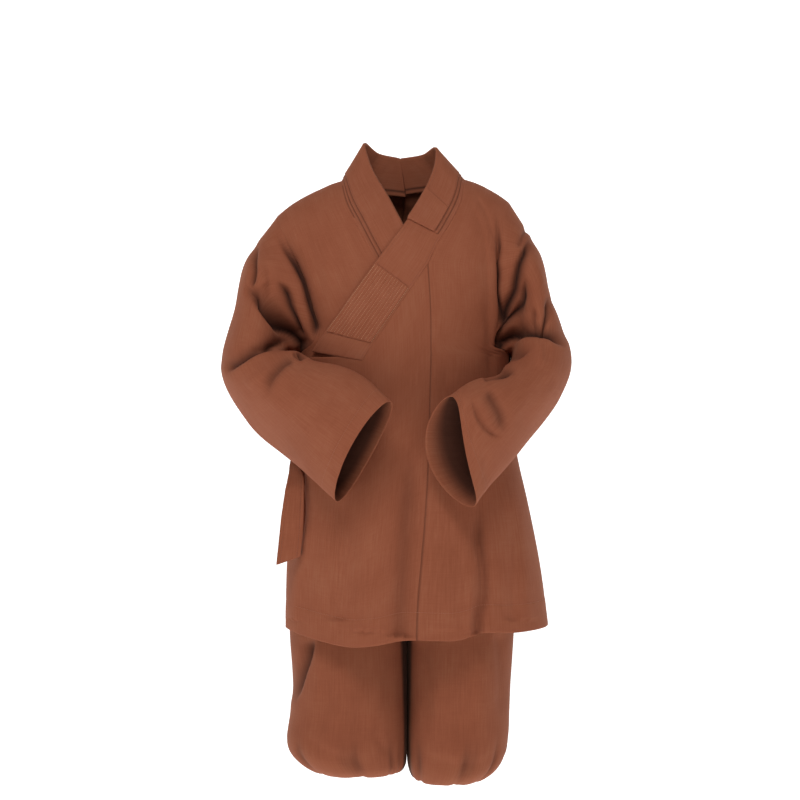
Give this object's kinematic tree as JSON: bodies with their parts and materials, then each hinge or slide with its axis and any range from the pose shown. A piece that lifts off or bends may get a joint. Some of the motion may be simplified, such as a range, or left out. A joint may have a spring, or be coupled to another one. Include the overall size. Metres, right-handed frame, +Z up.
{
  "type": "buddhist monk robe jacket and trousers",
  "caption": "Cross-over cotton robe jacket with wide sleeves, layered collar band and side tie, over matching loose trousers gathered at the calf, hollow and in its hanging shape.",
  "frame": {"origin": "middle of the neck opening at shoulder level, where shoulders carry the robe", "axes": "+Z up, -Y towards the garment's front, +X towards the garment's left sleeve"},
  "size_m": [0.6288, 0.4319, 1.1497],
  "materials": {
    "robe_cotton": "plain-woven red-brown cotton with slight slubs, matt",
    "collar_cotton": "plain-woven red-brown cotton, pressed and stitched in layers, matt",
    "trouser_cotton": "plain-woven red-brown cotton, matt"
  },
  "bodies": {
    "root": {"left_front": "robe_cotton", "overlap_front": "robe_cotton", "right_front": "robe_cotton", "left_back": "robe_cotton", "right_back": "robe_cotton", "left_sleeve_upper": "robe_cotton", "left_sleeve_lower": "robe_cotton", "right_sleeve_upper": "robe_cotton", "right_sleeve_lower": "robe_cotton", "collar_over_band": "collar_cotton", "collar_over_middle_layer": "collar_cotton", "collar_over_top_layer": "collar_cotton", "collar_under_band": "collar_cotton", "collar_under_middle_layer": "collar_cotton", "collar_under_top_layer": "collar_cotton", "collar_patch": "collar_cotton", "collar_quilting": "collar_cotton", "tie_knot": "robe_cotton", "tie_front_end": "robe_cotton", "tie_back_end": "robe_cotton", "trousers_right_leg": "trouser_cotton", "trousers_left_leg": "trouser_cotton", "waistband": "trouser_cotton"}
  },
  "joints": []
}
